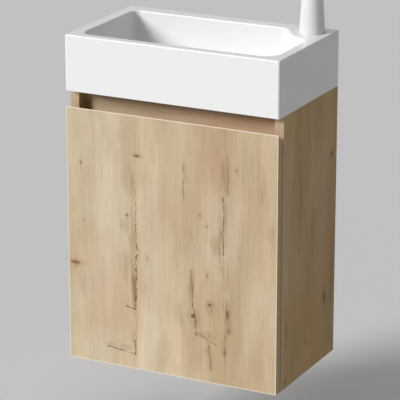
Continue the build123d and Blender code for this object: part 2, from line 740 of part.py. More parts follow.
def hinge_plate():
    """Mounting plate: a cross-shaped base on the side panel and a ridge inside the arm."""
    face = -INNER_X
    y0 = CARCASS_FRONT + PLATE_LINE - PLATE_LENGTH / 2
    base = block((face, face + PLATE_BASE), (y0, y0 + PLATE_LENGTH),
                 (-PLATE_WING_HALF, PLATE_WING_HALF))
    base = fillet(base.edges().filter_by(Axis.X), PLATE_LENGTH / 3)
    spine = block((face, face + PLATE_BASE),
                  (CARCASS_FRONT + ARM_Y[0], CARCASS_FRONT + ARM_Y[1]),
                  (-ARM_LAYER[1], ARM_LAYER[1]))
    half = ARM_LAYER[0] - RIDGE_GAP
    ridge = block((face, -OUTER_X + ARM_X[1] - ARM_WEB),
                  (CARCASS_FRONT + ARM_Y[0] + ARM_HALF_WIDTH, CARCASS_FRONT + ARM_Y[1]),
                  (-half, half))
    plate = base + spine + ridge
    for y, z in plate_screw_spots():
        plate -= rod(PLATE_SCREW_R, (face, y, z), (face + PLATE_BASE, y, z))
    return plate - rod(CLAMP_SCREW_R, plan((BOARD, CLAMP_SCREW_Y)), plan((ARM_X[1], CLAMP_SCREW_Y)))


def hinge_plate_screws():
    screws = []
    for level in HINGE_LEVELS:
        for y, step in plate_screw_spots():
            z = level + step
            face = -INNER_X + PLATE_BASE
            screw = rod(PLATE_SCREW_R, (-INNER_X - PLATE_SCREW_DEPTH, y, z), (face, y, z))
            screws.append(screw + rod(PLATE_SCREW_HEAD_R, (face, y, z),
                                      (face + PLATE_SCREW_HEAD, y, z)))
    return screws


def hinge_clamp_screws():
    """Screw through each arm's web into the plate's ridge."""
    screws = []
    for level in HINGE_LEVELS:
        top = plan((ARM_X[1], CLAMP_SCREW_Y), level)
        screw = rod(CLAMP_SCREW_R, plan((BOARD, CLAMP_SCREW_Y), level), top)
        head = plan((ARM_X[1] + PLATE_SCREW_HEAD, CLAMP_SCREW_Y), level)
        screws.append(screw + rod(CLAMP_SCREW_HEAD_R, top, head))
    return screws


def cup_centre():
    return (DOOR_REVEAL + CUP_EDGE, -DOOR_GAP)


def hinge_cup():
    """Pressed cup let into the door, with its screw flange and the lugs that carry the pins."""
    x, y = cup_centre()
    floor = y - CUP_DEPTH
    cup = rod(CUP_R, plan((x, floor)), plan((x, y)))
    flange = block((-OUTER_X + CUP_FLANGE_X, -OUTER_X + CUP_FLANGE_X + CUP_FLANGE_SIZE[0]),
                   (CARCASS_FRONT + y, CARCASS_FRONT + y + CUP_FLANGE),
                   (-CUP_FLANGE_SIZE[1] / 2, CUP_FLANGE_SIZE[1] / 2))
    flange = fillet(flange.edges().filter_by(Axis.Y), CUP_SCREW_HEAD_R)
    cup += flange - rod(CUP_R - CUP_WALL, plan((x, y)), plan((x, y + CUP_FLANGE)))
    cup -= rod(CUP_R - CUP_WALL, plan((x, floor + CUP_FLOOR)), plan((x, y)))
    for z in layers(*LUG_LAYER):
        lug = plan_strip([(CUP_PIVOT[0], floor + LINK_EYE_R), CUP_PIVOT], LINK_EYE_R, z)
        lug += plan_strip([(CUP_SECOND_PIVOT[0], floor + LINK_EYE_R), CUP_SECOND_PIVOT],
                          LINK_EYE_R, z)
        lug += plan_strip([(CUP_PIVOT[0], floor + LINK_EYE_R),
                           (CUP_SECOND_PIVOT[0], floor + LINK_EYE_R)], LINK_EYE_R, z)
        cup += lug
    cup -= block((-OUTER_X + x - CUP_R, -OUTER_X + CUP_PIVOT[0]),
                 (CARCASS_FRONT + y - CUP_NOTCH[0], CARCASS_FRONT + y),
                 (-CUP_NOTCH[1], CUP_NOTCH[1]))
    cup -= rod(LINK_PIN_R + RUNNING_FIT, plan(CUP_PIVOT, -LUG_LAYER[1]),
               plan(CUP_PIVOT, LUG_LAYER[1]))
    cup -= rod(LINK_PIN_R, plan(CUP_SECOND_PIVOT, -LUG_LAYER[1]),
               plan(CUP_SECOND_PIVOT, LUG_LAYER[1]))
    for step in (-CUP_SCREW_STEP, CUP_SCREW_STEP):
        spot = (x + CUP_SCREW_OFFSET, y)
        cup -= rod(CUP_SCREW_R, plan(spot, step), plan((spot[0], y + CUP_FLANGE), step))
    return cup


def hinge_cup_pin():
    return rod(LINK_PIN_R, plan(CUP_SECOND_PIVOT, -LUG_LAYER[1]),
               plan(CUP_SECOND_PIVOT, LUG_LAYER[1]))


def cup_screw_spots():
    """(plan x, z) of every cup screw."""
    x = cup_centre()[0] + CUP_SCREW_OFFSET
    return [(x, level + step) for level in HINGE_LEVELS for step in (-CUP_SCREW_STEP, CUP_SCREW_STEP)]


def hinge_cup_screws():
    screws = []
    back = -DOOR_GAP
    for x, z in cup_screw_spots():
        screw = rod(CUP_SCREW_R, plan((x, back - CUP_SCREW_DEPTH), z), plan((x, back + CUP_FLANGE), z))
        screws.append(screw + rod(CUP_SCREW_HEAD_R, plan((x, back + CUP_FLANGE), z),
                                  plan((x, back + CUP_FLANGE + CUP_SCREW_HEAD), z)))
    return screws


def at_hinges(shape):
    """The shape at each hinge's height."""
    return [Pos(0, 0, level) * shape for level in HINGE_LEVELS]


def door_slice(x, bottom, below):
    """Slice of the door with its top edge bevelled down to the back, cut short by 'below'."""
    return prism_x([(DOOR_FRONT, bottom), (DOOR_FRONT, DOOR_TOP - below),
                    (DOOR_BACK, DOOR_TOP_BACK - below), (DOOR_BACK, bottom)], x)


def door_panel():
    door = door_slice((-DOOR_X + BAND, DOOR_X - BAND), DOOR_BOTTOM + BAND, BEVEL_BAND)
    x, y = cup_centre()
    for level in HINGE_LEVELS:
        door -= rod(CUP_R, plan((x, y - CUP_DEPTH), level), plan((x, y), level))
    for x, z in cup_screw_spots():
        door -= rod(CUP_SCREW_R, plan((x, y - CUP_SCREW_DEPTH), z), plan((x, y), z))
    return door


def door_edge_bands():
    side = door_slice((DOOR_X - BAND, DOOR_X), DOOR_BOTTOM, 0)
    across = (-DOOR_X + BAND, DOOR_X - BAND)
    top = prism_x([(DOOR_FRONT, DOOR_TOP - BEVEL_BAND), (DOOR_FRONT, DOOR_TOP),
                   (DOOR_BACK, DOOR_TOP_BACK), (DOOR_BACK, DOOR_TOP_BACK - BEVEL_BAND)], across)
    bottom = block(across, (DOOR_FRONT, DOOR_BACK), (DOOR_BOTTOM, DOOR_BOTTOM + BAND))
    return both_sides(side) + [top, bottom]


def door_bumpers():
    """Soft pads on the door's free corners, over the right side panel's front edge."""
    x = OUTER_X - BOARD / 2
    pads = []
    for z in (DOOR_TOP - BUMPER_INSET, DOOR_BOTTOM + BUMPER_INSET):
        pads.append(rod(BUMPER_R, (x, DOOR_BACK, z), (x, DOOR_BACK + BUMPER, z)))
    return pads


def at_drain(shape):
    return Pos(DRAIN_X, DRAIN_Y, 0) * shape


SEAT_Z = DRAIN_Z - DRAIN_SEAT_DEPTH
WASTE_END = DRAIN_Z - WASTE_LENGTH
LIP_TOP = SEAT_Z + SEAL + FLANGE_LIP


def waste_flange():
    """Flanged waste with its tail and the three-rib spider that guides the plug."""
    low = SEAT_Z + SEAL
    body = lathe([(WASTE_BORE_R, WASTE_END), (WASTE_R, WASTE_END), (WASTE_R, low), (FLANGE_R, low),
                  (FLANGE_R, LIP_TOP - 0.6), (FLANGE_R - 0.6, LIP_TOP), (THROAT_R, LIP_TOP),
                  (WASTE_BORE_R, LIP_TOP - THROAT_DEPTH)])
    top = LIP_TOP - SPIDER_DEPTH + SPIDER_RIB / 2
    for turn in (0, 120, 240):
        rib = block((0, WASTE_BORE_R + 0.5), (-SPIDER_RIB / 2, SPIDER_RIB / 2),
                    (top - SPIDER_BOSS, top))
        body += Rot(0, 0, turn) * rib
    body += rod(SPIDER_BOSS_R, (0, 0, top - SPIDER_BOSS), (0, 0, top))
    body -= rod(PLUG_STEM_R + RUNNING_FIT, (0, 0, top - SPIDER_BOSS), (0, 0, top))
    return at_drain(body)


def waste_plug():
    """Push plug, drawn closed just above the flange."""
    low = LIP_TOP + PLUG_SEAT_GAP
    cap = lathe([(0, low), (PLUG_R - 1, low), (PLUG_R, low + 1), (PLUG_R, low + PLUG_CAP * 0.4),
                 (PLUG_R - 3, low + PLUG_CAP * 0.72), (PLUG_R - 11, low + PLUG_CAP * 0.92),
                 (0, low + PLUG_CAP)])
    return at_drain(cap + rod(PLUG_STEM_R, (0, 0, low - PLUG_STEM), (0, 0, low)))


def waste_top_seal():
    return at_drain(washer(FLANGE_R - 0.4, DRAIN_HOLE_R + 2, SEAT_Z, SEAT_Z + SEAL))


def waste_bottom_seal():
    return at_drain(washer(BACKNUT_R - 2, WASTE_R + THREAD_FIT, DRAIN_BOSS_Z - LOWER_SEAL,
                           DRAIN_BOSS_Z))


def waste_backnut():
    high = DRAIN_BOSS_Z - LOWER_SEAL
    nut = extrude(Plane.XY.offset(high - BACKNUT) * RegularPolygon(BACKNUT_R, 6), BACKNUT)
    nut &= lathe([(0, high - BACKNUT), (BACKNUT_R - 2, high - BACKNUT), (BACKNUT_R, high - BACKNUT + 2),
                  (BACKNUT_R, high), (0, high)])
    return at_drain(nut - rod(WASTE_R + THREAD_FIT, (0, 0, high - BACKNUT), (0, 0, high)))


def ribbed_nut(length, thread_r, pipe_r):
    """Plastic nut open at the low end, with a flange at the top and grip ribs round it."""
    nut = rod(TRAP_NUT_R - 1, (0, 0, 0), (0, 0, length))
    for turn in range(0, 360, 30):
        rib = block((TRAP_NUT_R - 3, TRAP_NUT_R), (-2, 2), (1.5, length - 1.5))
        nut += Rot(0, 0, turn) * rib
    nut -= rod(thread_r, (0, 0, 0), (0, 0, length - TRAP_NUT_FLANGE))
    return nut - rod(pipe_r, (0, 0, 0), (0, 0, length))


COLLAR_TOP = WASTE_END - UNION_SEAL
HEAD_TOP = OUTLET_Z + TRAP_HEAD_ABOVE
HEAD_BOTTOM = OUTLET_Z - TRAP_HEAD_BELOW
NECK_TOP = HEAD_TOP + TRAP_NECK
SOCKET_END = DRAIN_Y + TRAP_R + TRAP_SOCKET
PIPE_BORE_R = PIPE_R - PIPE_WALL
PIPE_HOLE_R = PIPE_R + PIPE_FIT


def trap_union_nut():
    """Nut on the waste's tail, with its flange under the inlet tube's collar."""
    low = COLLAR_TOP - UNION_COLLAR - TRAP_NUT_FLANGE
    nut = ribbed_nut(UNION_NUT, WASTE_R + THREAD_FIT, PIPE_HOLE_R)
    return at_drain(Pos(0, 0, low + UNION_NUT) * Rot(180, 0, 0) * nut)


def trap_inlet_tube():
    end = OUTLET_Z - TAIL_BELOW_OUTLET
    tube = washer(PIPE_R, PIPE_BORE_R, end, COLLAR_TOP)
    return at_drain(tube + washer(WASTE_R - 0.9, PIPE_BORE_R, COLLAR_TOP - UNION_COLLAR, COLLAR_TOP))


def trap_head():
    """Upper half of the bottle trap: cylinder, inlet neck and outlet socket."""
    head = rod(TRAP_R, (0, 0, HEAD_BOTTOM), (0, 0, HEAD_TOP))
    head = fillet(head.faces().sort_by(Axis.Z)[-1].edges(), 3)
    head += rod(TRAP_NECK_R, (0, 0, HEAD_TOP), (0, 0, NECK_TOP))
    socket_end = SOCKET_END - DRAIN_Y
    head += rod(TRAP_NECK_R, (0, 0, OUTLET_Z), (0, socket_end, OUTLET_Z))
    head -= rod(TRAP_R - TRAP_WALL, (0, 0, HEAD_BOTTOM), (0, 0, HEAD_TOP - TRAP_WALL))
    head -= rod(PIPE_HOLE_R, (0, 0, HEAD_BOTTOM), (0, 0, NECK_TOP))
    return at_drain(head - rod(PIPE_HOLE_R, (0, 0, OUTLET_Z), (0, socket_end, OUTLET_Z)))


def trap_top_nut():
    nut = ribbed_nut(TRAP_NUT, TRAP_NECK_R + THREAD_FIT, PIPE_HOLE_R)
    return at_drain(Pos(0, 0, NECK_TOP + TRAP_SEAL + TRAP_NUT_FLANGE - TRAP_NUT) * nut)


def trap_outlet_nut():
    nut = ribbed_nut(TRAP_NUT, TRAP_NECK_R + THREAD_FIT, PIPE_HOLE_R)
    start = SOCKET_END + TRAP_SEAL + TRAP_NUT_FLANGE - TRAP_NUT
    return Pos(DRAIN_X, start, OUTLET_Z) * Rot(-90, 0, 0) * nut


def trap_seals():
    """Rubber rings under the union, top and outlet nuts."""
    union = at_drain(washer(WASTE_R - 0.9, PIPE_BORE_R + 4, COLLAR_TOP, WASTE_END))
    top = at_drain(washer(TRAP_NECK_R, PIPE_R, NECK_TOP, NECK_TOP + TRAP_SEAL))
    outlet = lathe_y([(PIPE_R, SOCKET_END), (TRAP_NECK_R, SOCKET_END),
                      (TRAP_NECK_R, SOCKET_END + TRAP_SEAL), (PIPE_R, SOCKET_END + TRAP_SEAL)],
                     DRAIN_X, OUTLET_Z)
    return [union, top, outlet]


def trap_cup():
    """Unscrewable cup of the bottle trap."""
    low = HEAD_BOTTOM - TRAP_CUP_HEIGHT
    inner = TRAP_R - TRAP_WALL
    high = HEAD_BOTTOM + TRAP_CUP_COLLAR
    cup = lathe([(0, low), (TRAP_R - 10, low), (TRAP_R - 3, low + 2.5), (TRAP_R, low + 9),
                 (TRAP_R, HEAD_BOTTOM - 4), (TRAP_CUP_COLLAR_R, HEAD_BOTTOM), (TRAP_CUP_COLLAR_R, high),
                 (TRAP_R + THREAD_FIT, high), (TRAP_R + THREAD_FIT, HEAD_BOTTOM), (inner, HEAD_BOTTOM),
                 (inner, low + 10), (inner - 8, low + TRAP_WALL), (0, low + TRAP_WALL)])
    for turn in range(0, 360, 20):
        rib = block((TRAP_CUP_COLLAR_R - 1, TRAP_CUP_COLLAR_R + 1), (-1.5, 1.5),
                    (HEAD_BOTTOM + 1, high - 1))
        cup += Rot(0, 0, turn) * rib
    return at_drain(cup)


def trap_outlet_pipe():
    """Pipe from the trap through the wall line, with a spigot for the drain in the wall."""
    start = DRAIN_Y + TRAP_R + PIPE_R / 3
    spigot = PIPE_R - SPIGOT_STEP
    return lathe_y([(PIPE_BORE_R, start), (PIPE_R, start), (PIPE_R, 0), (spigot, 0),
                    (spigot, SPIGOT_LENGTH), (PIPE_BORE_R, SPIGOT_LENGTH)], DRAIN_X, OUTLET_Z)


def wall_rosette():
    return lathe_y([(PIPE_R + SPIGOT_STEP, -ROSETTE_DEPTH), (ROSETTE_NECK_R, -ROSETTE_DEPTH),
                    (ROSETTE_NECK_R + 4, -ROSETTE_DEPTH * 0.55), (ROSETTE_R - 4, -ROSETTE_DEPTH * 0.25),
                    (ROSETTE_R, 0), (PIPE_R + SPIGOT_STEP, 0)], DRAIN_X, OUTLET_Z)


def at_tap(shape):
    """Move from the tap's own frame, spout along -Y, to its place on the ledge."""
    return Pos(TAP_X, TAP_Y, BASIN_TOP) * Rot(0, 0, TAP_TURN) * shape


def across_y(size, y):
    """Rounded rectangle across the Y axis, from (width, height, middle height)."""
    width, height, z = size
    place = Plane(origin=(0, y, z), x_dir=(1, 0, 0), z_dir=(0, -1, 0))
    return place * RectangleRounded(width, height, height * 0.42)


def tap_inlets():
    return [(-INLET_SPREAD, -INLET_FORWARD), (INLET_SPREAD, -INLET_FORWARD)]


def tap_body():
    """Conical body with its spout, bored for the cartridge, the inlets and the stud."""
    body = lathe([(0, 0), (TAP_BASE_R - 0.5, 0), (TAP_BASE_R, 0.5), (TAP_TOP_R, TAP_BODY_HEIGHT - 0.5),
                  (TAP_TOP_R - 0.5, TAP_BODY_HEIGHT), (0, TAP_BODY_HEIGHT)])
    sections = []
    for (width, height, drop), y in ((SPOUT_ROOT, -8), (SPOUT_MIDDLE, -SPOUT_REACH / 2),
                                     (SPOUT_TIP, -SPOUT_REACH)):
        sections.append(across_y((width, height, TAP_BODY_HEIGHT - drop), y))
    body += loft(sections)
    body -= rod(CARTRIDGE_R, (0, 0, CARTRIDGE_BOTTOM), (0, 0, TAP_BODY_HEIGHT))
    body -= rod(DOME_SKIRT_R, (0, 0, TAP_BODY_HEIGHT - DOME_SKIRT), (0, 0, TAP_BODY_HEIGHT))
    y, z = aerator_spot()
    body -= rod(AERATOR_R, (0, y, z - AERATOR_DEPTH * 2), (0, y, z))
    body -= rod(SPOUT_WATERWAY_R, (0, y, z - 1), (0, -CARTRIDGE_R + 1, CARTRIDGE_TOP - 5))
    for x, y in tap_inlets():
        body -= rod(INLET_R, (x, y, 0), (x, y, INLET_DEPTH))
        body -= rod(INLET_R - 2, (x, y, INLET_DEPTH), (x, y, CARTRIDGE_BOTTOM))
    body -= rod(STUD_R, (0, STUD_BACK, 0), (0, STUD_BACK, STUD_IN_BODY))
    return at_tap(body - base_seal_ring())


def aerator_spot():
    """(y, top of the pocket) of the aerator in the tap's own frame."""
    return -SPOUT_REACH + AERATOR_SETBACK, TAP_BODY_HEIGHT - SPOUT_TIP[2] + 0.6


def base_seal_ring():
    return washer(TAP_BASE_R - 1.7, TAP_BASE_R - 4.4, 0, 1.5)


def tap_aerator():
    y, high = aerator_spot()
    low = high - AERATOR_DEPTH - 1.4
    body = rod(AERATOR_R, (0, y, low), (0, y, high))
    return at_tap(body - rod(AERATOR_R - 1.6, (0, y, low), (0, y, low + 1.6)))


def tap_cartridge():
    body = rod(CARTRIDGE_R, (0, 0, CARTRIDGE_BOTTOM), (0, 0, CARTRIDGE_TOP))
    hole = rod(STUD_R + RUNNING_FIT, (0, 0, CARTRIDGE_TOP - CARTRIDGE_SOCKET), (0, 0, CARTRIDGE_TOP))
    for x, y in tap_inlets():
        body -= rod(INLET_R - 2, (x, y, CARTRIDGE_BOTTOM), (x, y, CARTRIDGE_BOTTOM + 6))
    return at_tap(body - hole)


def tap_dome_ring():
    """Screw ring over the cartridge, with a dome that the lever's bell rides over."""
    centre = Pos(0, 0, PIVOT_H)
    ring = (centre * Sphere(DOME_R)) & block((-DOME_R, DOME_R), (-DOME_R, DOME_R),
                                             (PIVOT_H, PIVOT_H + DOME_R))
    ring += rod(DOME_SKIRT_R, (0, 0, PIVOT_H - DOME_SKIRT), (0, 0, PIVOT_H))
    ring -= centre * Sphere(DOME_R - DOME_WALL)
    ring -= rod(DOME_SKIRT_R - 2, (0, 0, PIVOT_H - DOME_SKIRT), (0, 0, PIVOT_H))
    return at_tap(ring - rod(DOME_OPENING_R, (0, 0, PIVOT_H), (0, 0, PIVOT_H + DOME_R)))


def tap_stem_carrier():
    """Turning carrier that holds the lever's pin over the cartridge."""
    high = PIVOT_H + CARRIER_ABOVE
    body = rod(CARRIER_R, (0, 0, PIVOT_H - CARRIER_BELOW), (0, 0, high))
    body += rod(STUD_R, (0, 0, CARTRIDGE_TOP - CARTRIDGE_SOCKET), (0, 0, PIVOT_H - CARRIER_BELOW))
    body -= block((-CARRIER_SLOT / 2, CARRIER_SLOT / 2), (-CARRIER_R, CARRIER_R),
                  (high - CARRIER_SLOT_DEPTH, high))
    return at_tap(body + rod(HINGE_PIN_R, (-CARRIER_R + 1, 0, PIVOT_H), (CARRIER_R - 1, 0, PIVOT_H)))


def tap_lever():
    """Bell over the dome, its handle and the stem that hangs on the carrier's pin."""
    low, high = PIVOT_H + BELL_GAP, PIVOT_H + BELL_HEIGHT
    bell = lathe([(0, low), (BELL_FOOT_R, low), (BELL_TOP_R, high - 2), (BELL_TOP_R - 2, high),
                  (0, high)])
    rise = BELL_FOOT_R * 1.2 * math.tan(math.radians(BELL_FOOT_ANGLE))
    bell -= lathe([(0, PIVOT_H), (BELL_FOOT_R * 1.2, PIVOT_H), (BELL_FOOT_R * 1.2, PIVOT_H + rise)])
    bell -= Pos(0, 0, PIVOT_H) * Sphere(DOME_R + BELL_GAP)
    arm = loft([across_y((20, 11, high - 7.5), -9), across_y((15, 6, high - 3), -LEVER_REACH)])
    bell += arm
    stem_top = PIVOT_H + DOME_R + 2
    bell += rod(STEM_R, (0, 0, PIVOT_H), (0, 0, stem_top))
    bell += rod(EYE_R, (-STEM_R, 0, PIVOT_H), (STEM_R, 0, PIVOT_H))
    return at_tap(bell - rod(HINGE_PIN_R + RUNNING_FIT, (-EYE_R, 0, PIVOT_H), (EYE_R, 0, PIVOT_H)))


def tap_stud():
    return at_tap(rod(STUD_R, (0, STUD_BACK, -STUD_BELOW), (0, STUD_BACK, STUD_IN_BODY)))


def horseshoe(high, thickness):
    """Open washer under the ledge, with room for the supply tubes."""
    body = rod(SHOE_R, (0, 0, high - thickness), (0, 0, high))
    half = SHOE_SLOT / 2
    body -= rod(half, (0, -SHOE_SLOT_CENTRE, high - thickness), (0, -SHOE_SLOT_CENTRE, high))
    body -= block((-half, half), (-SHOE_R, -SHOE_SLOT_CENTRE), (high - thickness, high))
    return at_tap(body - rod(STUD_R + THREAD_FIT, (0, STUD_BACK, high - thickness),
                             (0, STUD_BACK, high)))


def tap_nut():
    high = -DECK - SHOE_PAD - SHOE
    nut = extrude(Plane.XY.offset(high - NUT) * RegularPolygon(NUT_R, 6), NUT)
    nut = Pos(0, STUD_BACK, 0) * nut
    return at_tap(nut - rod(STUD_R + THREAD_FIT, (0, STUD_BACK, high - NUT), (0, STUD_BACK, high)))


def each_side(maker, spots):
    """One piece per spot on both sides."""
    return [one for spot in spots for one in both_sides(maker(*spot))]


def save(name, shapes):
    """Write one node: one solid, or a group of separate identical ones."""
    if isinstance(shapes, list):
        shapes = Compound(children=shapes)
    export_step(shapes, f"parts/{name}.step")


os.makedirs("parts", exist_ok=True)
save("washbasin", washbasin())
save("side_panel_left", side_panel_left())
save("side_panel_right", side_panel())
save("bottom_panel", bottom_panel())
save("grip_rail", grip_rail())
save("back_rail_top", back_rail_top())
save("back_rail_bottom", back_rail_bottom())
save("carcass_edge_bands", carcass_edge_bands())
save("shelf", shelf())
save("shelf_edge_band", shelf_edge_band())
save("shelf_pins", shelf_pins())
save("wood_dowels", each_side(lambda y, z: rod(DOWEL_R, (INNER_X - DOWEL_IN_END, y, z),
                                               (INNER_X + DOWEL_IN_SIDE, y, z)), dowel_spots()))
save("cam_housings", each_side(cam_housing, connectors()))
save("cam_bolts", each_side(cam_bolt, [(y, z) for y, z, faces in connectors()]))
save("silicone_bead", silicone_bead())
save("hanger_housings", both_sides(hanger_housing()))
save("hanger_hooks", both_sides(hanger_hook()))
save("hanger_screws", hanger_screws())
save("wall_plates", both_sides(wall_plate()))
save("hinge_plates", at_hinges(hinge_plate()))
save("hinge_plate_screws", hinge_plate_screws())
save("hinge_arms", at_hinges(hinge_arm()))
save("hinge_clamp_screws", hinge_clamp_screws())
save("hinge_outer_links", at_hinges(hinge_outer_link()))
save("hinge_inner_links", at_hinges(hinge_inner_link()))
save("hinge_cups", at_hinges(hinge_cup()))
save("hinge_cup_pins", at_hinges(hinge_cup_pin()))
save("hinge_cup_screws", hinge_cup_screws())
save("door_panel", door_panel())
save("door_edge_bands", door_edge_bands())
save("door_bumpers", door_bumpers())
save("waste_flange", waste_flange())
save("waste_top_seal", waste_top_seal())
save("waste_bottom_seal", waste_bottom_seal())
save("waste_backnut", waste_backnut())
save("waste_plug", waste_plug())
save("trap_union_nut", trap_union_nut())
save("trap_inlet_tube", trap_inlet_tube())
save("trap_head", trap_head())
save("trap_top_nut", trap_top_nut())
save("trap_outlet_nut", trap_outlet_nut())
save("trap_seals", trap_seals())
save("trap_cup", trap_cup())
save("trap_outlet_pipe", trap_outlet_pipe())
save("wall_rosette", wall_rosette())
save("tap_body", tap_body())
save("tap_base_seal", at_tap(base_seal_ring()))
save("tap_aerator", tap_aerator())
save("tap_cartridge", tap_cartridge())
save("tap_dome_ring", tap_dome_ring())
save("tap_stem_carrier", tap_stem_carrier())
save("tap_lever", tap_lever())
save("tap_stud", tap_stud())
save("tap_rubber_washer", horseshoe(-DECK, SHOE_PAD))
save("tap_horseshoe", horseshoe(-DECK - SHOE_PAD, SHOE))
save("tap_nut", tap_nut())
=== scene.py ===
import bpy
import json
import math
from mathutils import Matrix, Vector

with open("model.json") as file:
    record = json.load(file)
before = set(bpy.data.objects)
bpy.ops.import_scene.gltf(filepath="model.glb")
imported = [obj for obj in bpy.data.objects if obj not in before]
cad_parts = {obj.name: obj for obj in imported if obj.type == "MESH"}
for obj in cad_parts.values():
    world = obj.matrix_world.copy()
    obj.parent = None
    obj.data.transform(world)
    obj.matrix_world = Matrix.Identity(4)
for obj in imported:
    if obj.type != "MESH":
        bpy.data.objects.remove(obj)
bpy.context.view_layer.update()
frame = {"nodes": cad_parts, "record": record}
nodes = frame["nodes"]
MM = 0.001

# ---------------------------------------------------------------- camera, floor and light
# The camera was fitted to corners of the basin and the cabinet in the photograph.
AIM = Vector((-8.05, -110.0, -158.0)) * MM
CAMERA_AZIMUTH = math.radians(26.85)
CAMERA_HEIGHT = math.radians(17.9)
CAMERA_DISTANCE = 4.1327
FOCAL_LENGTH = 215.2
SENSOR_WIDTH = 36.0

# Sunlight of two soft lamps: where each shines, its strength and its spread in degrees.
KEY_LIGHT = ((0.72, 1.0, -0.60), 2.90, 22)
OVERHEAD_LIGHT = ((0.05, 0.10, -1.0), 0.85, 40)
FILL_STRENGTH = 0.075
BACKGROUND_STRENGTH = 0.6

FLOOR_SIZE = 40
FLOOR_Z = -0.600


def look_along(obj, way):
    """Turn a camera or lamp to face a direction."""
    obj.rotation_euler = Vector(way).to_track_quat("-Z", "Y").to_euler()


def photo_camera():
    """Camera at the photograph's viewing angle."""
    data = bpy.data.cameras.new("photo_camera")
    data.sensor_width = SENSOR_WIDTH
    data.lens = FOCAL_LENGTH
    obj = bpy.data.objects.new("photo_camera", data)
    bpy.context.collection.objects.link(obj)
    back = Vector((math.sin(CAMERA_AZIMUTH) * math.cos(CAMERA_HEIGHT),
                   -math.cos(CAMERA_AZIMUTH) * math.cos(CAMERA_HEIGHT),
                   math.sin(CAMERA_HEIGHT)))
    obj.location = AIM + back * CAMERA_DISTANCE
    look_along(obj, -back)
    bpy.context.scene.camera = obj


def soft_lamp(name, way, strength, spread):
    """Even daylight from one direction, softened by its spread."""
    data = bpy.data.lights.new(name, "SUN")
    data.energy = strength
    data.angle = math.radians(spread)
    obj = bpy.data.objects.new(name, data)
    look_along(obj, way)
    bpy.context.collection.objects.link(obj)


def linear(code):
    """Turn an sRGB hex colour into a linear one."""
    parts = [int(code[i:i + 2], 16) / 255 for i in (0, 2, 4)]
    return tuple(p / 12.92 if p < 0.04045 else ((p + 0.055) / 1.055) ** 2.4 for p in parts) + (1,)


def add(tree, kind, sockets=None, take=0, **settings):
    """Add a node, set it, link or fill its inputs, and return one output."""
    node = tree.nodes.new(kind)
    for key, value in settings.items():
        setattr(node, key, value)
    for key, value in (sockets or {}).items():
        if isinstance(value, bpy.types.NodeSocket):
            tree.links.new(value, node.inputs[key])
        else:
            node.inputs[key].default_value = value
    return node.outputs[take] if node.outputs else node


# The two colours and the result of a Mix node that mixes colours; its share is socket 0.
MIX_FIRST, MIX_SECOND, MIX_RESULT = 6, 7, 2


def material(name):
    """New material with an empty node tree."""
    made = bpy.data.materials.new(name)
    made.use_nodes = True
    made.node_tree.nodes.clear()
    return made, made.node_tree


def studio_world():
    """Weak fill on the object, and a pale background for the eye, for gloss and for glass."""
    world = bpy.data.worlds.new("studio")
    bpy.context.scene.world = world
    world.use_nodes = True
    tree = world.node_tree
    tree.nodes.clear()
    rays = add(tree, "ShaderNodeLightPath").node.outputs
    seen = add(tree, "ShaderNodeMath", {0: rays["Is Camera Ray"], 1: rays["Is Glossy Ray"]},
               operation="MAXIMUM")
    seen = add(tree, "ShaderNodeMath", {0: seen, 1: rays["Is Transmission Ray"]},
               operation="MAXIMUM")
    strength = add(tree, "ShaderNodeMapRange", {"Value": seen, "To Min": FILL_STRENGTH,
                                                "To Max": BACKGROUND_STRENGTH})
    light = add(tree, "ShaderNodeBackground", {"Color": linear("FFFFFF"), "Strength": strength})
    add(tree, "ShaderNodeOutputWorld", {"Surface": light})


def pale_floor():
    """Plain painted floor below the unit, which hangs on a wall: matt, light grey."""
    bpy.ops.object.select_all(action="DESELECT")
    bpy.ops.mesh.primitive_plane_add(size=FLOOR_SIZE, location=(0, 0, FLOOR_Z))
    floor = bpy.context.object
    floor.name = "floor"
    made, tree = material("pale_floor")
    shader = add(tree, "ShaderNodeBsdfPrincipled", {"Base Color": linear("D8D8D8"),
                                                    "Roughness": 0.8})
    add(tree, "ShaderNodeOutputMaterial", {"Surface": shader})
    floor.data.materials.append(made)


photo_camera()
studio_world()
soft_lamp("key", *KEY_LIGHT)
soft_lamp("overhead", *OVERHEAD_LIGHT)
pale_floor()


# ---------------------------------------------------------------- oak decor
def group(name, takes, gives):
    """New node group with number sockets, and the outputs of its input node."""
    made = bpy.data.node_groups.new(name, "ShaderNodeTree")
    for label in takes:
        made.interface.new_socket(label, in_out="INPUT", socket_type="NodeSocketFloat")
    for label in gives:
        made.interface.new_socket(label, in_out="OUTPUT", socket_type="NodeSocketFloat")
    return made, add(made, "NodeGroupInput").node.outputs


